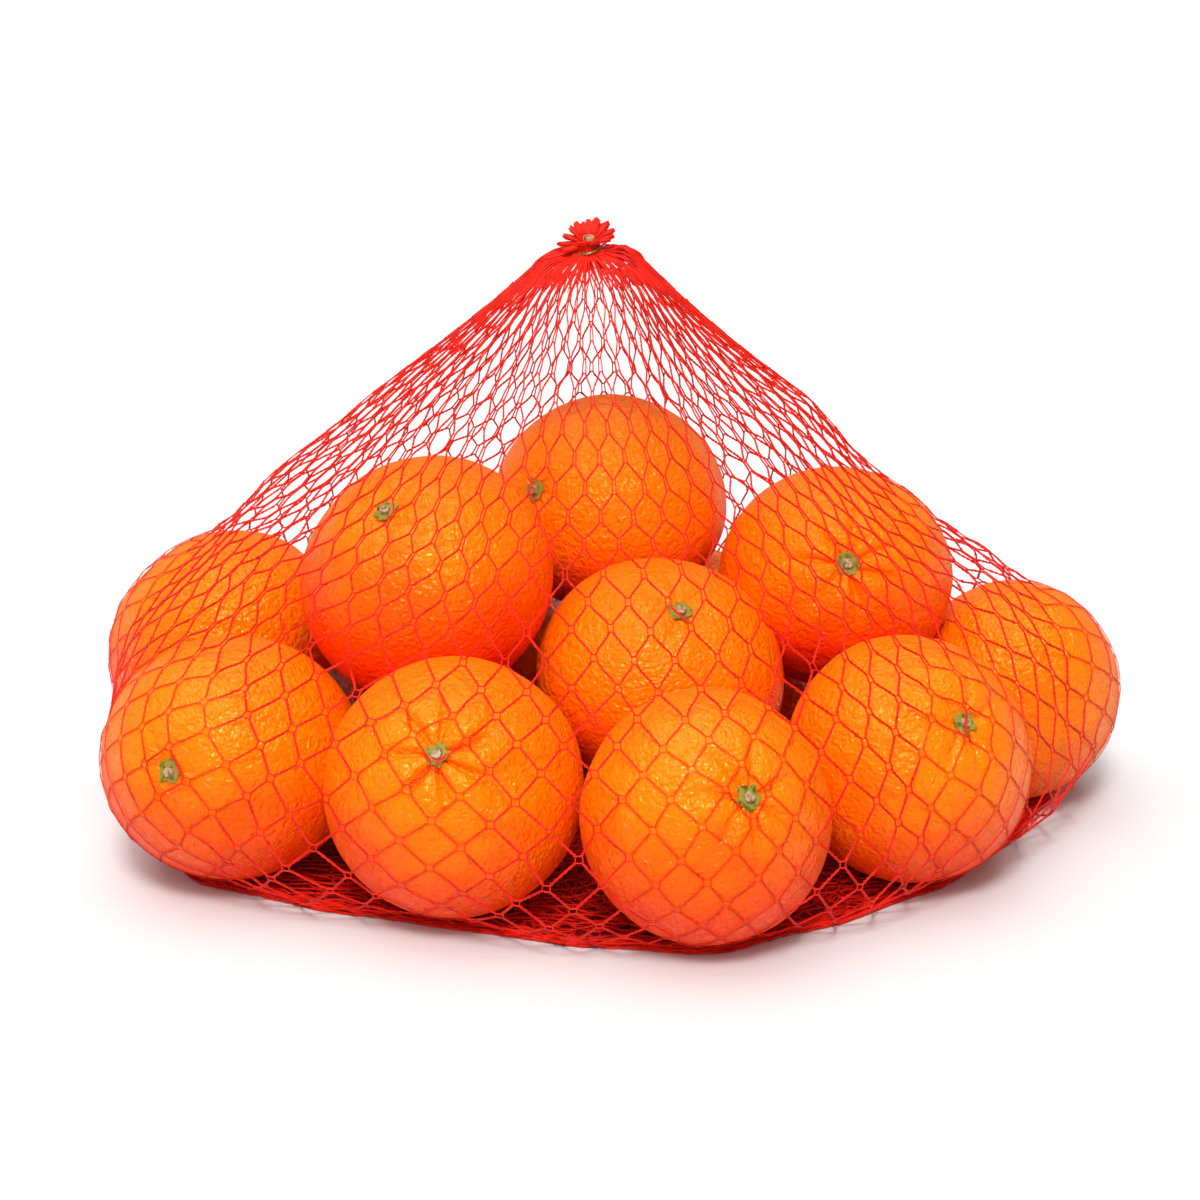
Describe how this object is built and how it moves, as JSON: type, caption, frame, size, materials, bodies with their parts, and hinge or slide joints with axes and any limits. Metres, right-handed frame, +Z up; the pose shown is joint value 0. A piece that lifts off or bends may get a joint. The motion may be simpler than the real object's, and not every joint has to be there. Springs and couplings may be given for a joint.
{
  "type": "net of clementines",
  "caption": "Red knitted net bag full of clementines, drawn together at the top by a small metal clip, with splayed cut ends above it.",
  "frame": {"origin": "middle of the base, on the surface that the bag rests on", "axes": "+Z up, +X to the right of the front view, the front of the bag looks along -Y"},
  "size_m": [0.2622, 0.1701, 0.1534],
  "materials": {
    "net_thread": "knitted thin plastic thread, slightly shiny red",
    "peel": "waxy orange citrus peel with fine pores",
    "calyx": "dry green and brown stem end",
    "clip_metal": "dull bent wire",
    "core_strip": "rolled tan strip"
  },
  "bodies": {
    "root": {"net_bag": "net_thread", "clip": "clip_metal", "tuft": "net_thread", "core": "core_strip"}
  },
  "joints": []
}
